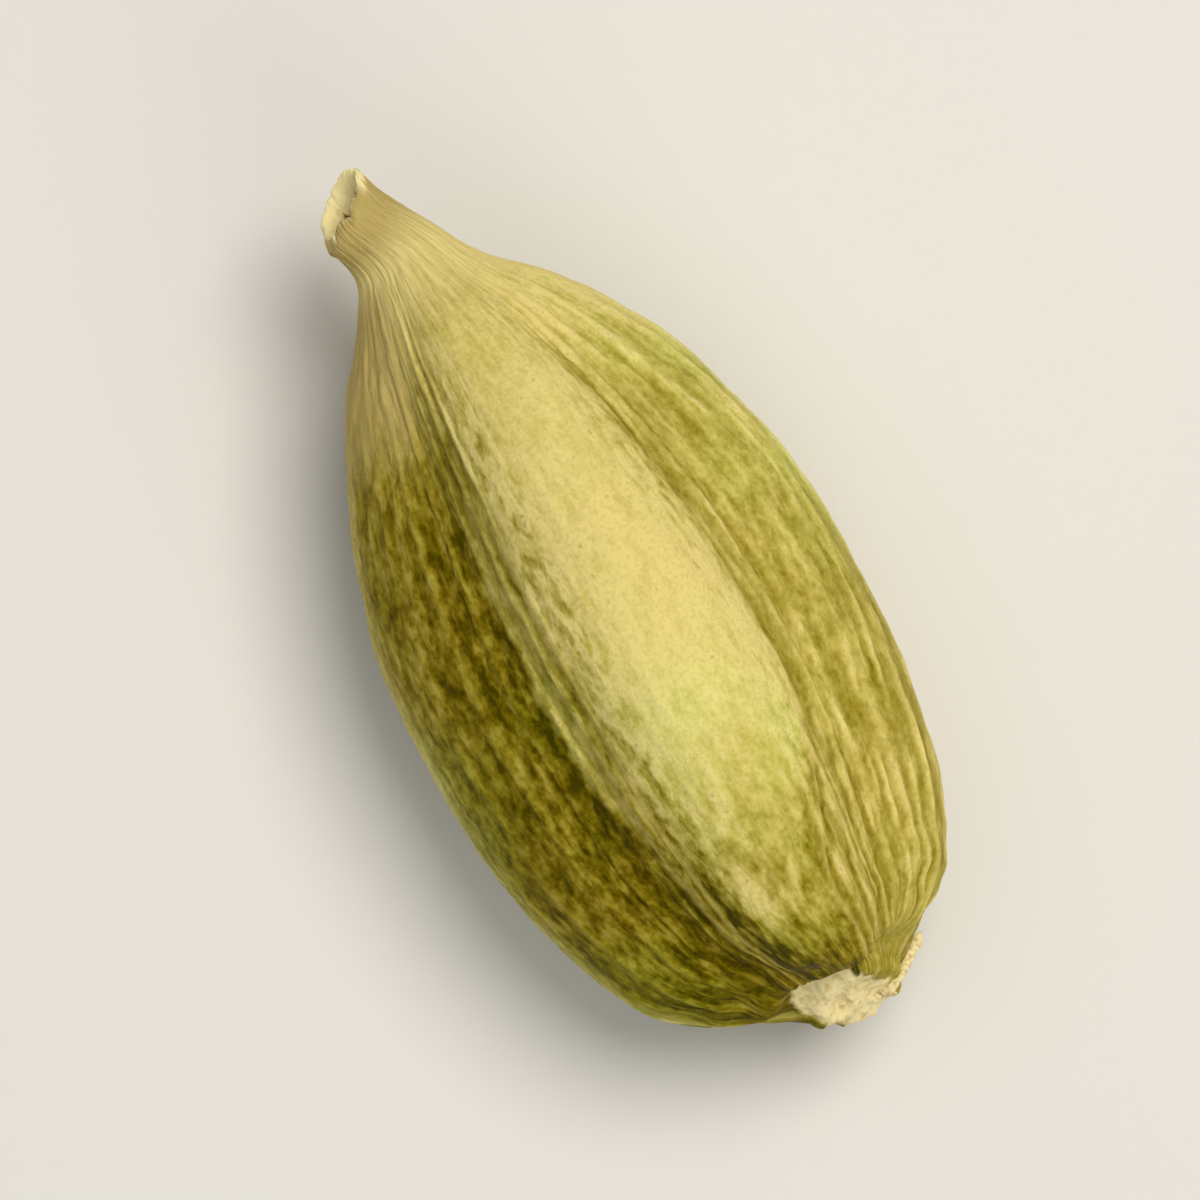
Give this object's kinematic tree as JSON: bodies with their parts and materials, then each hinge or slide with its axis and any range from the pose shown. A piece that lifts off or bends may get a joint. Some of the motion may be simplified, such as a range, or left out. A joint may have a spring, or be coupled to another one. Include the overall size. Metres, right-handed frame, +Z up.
{
  "type": "green cardamom pod",
  "caption": "Dried green cardamom pod: a closed three-lobed ribbed husk with a short beak and a stalk scar, lying on its side.",
  "frame": {"origin": "on the surface that the pod rests on, under the centre of its bounding box", "axes": "+X along the pod from the beak to the stalk scar, +Y towards the side that the top lobe leans to, +Z up"},
  "size_m": [0.0196, 0.0096, 0.0086],
  "materials": {
    "dried_husk": "matte"
  },
  "bodies": {
    "root": {"cardamom_pod": "dried_husk"}
  },
  "joints": []
}
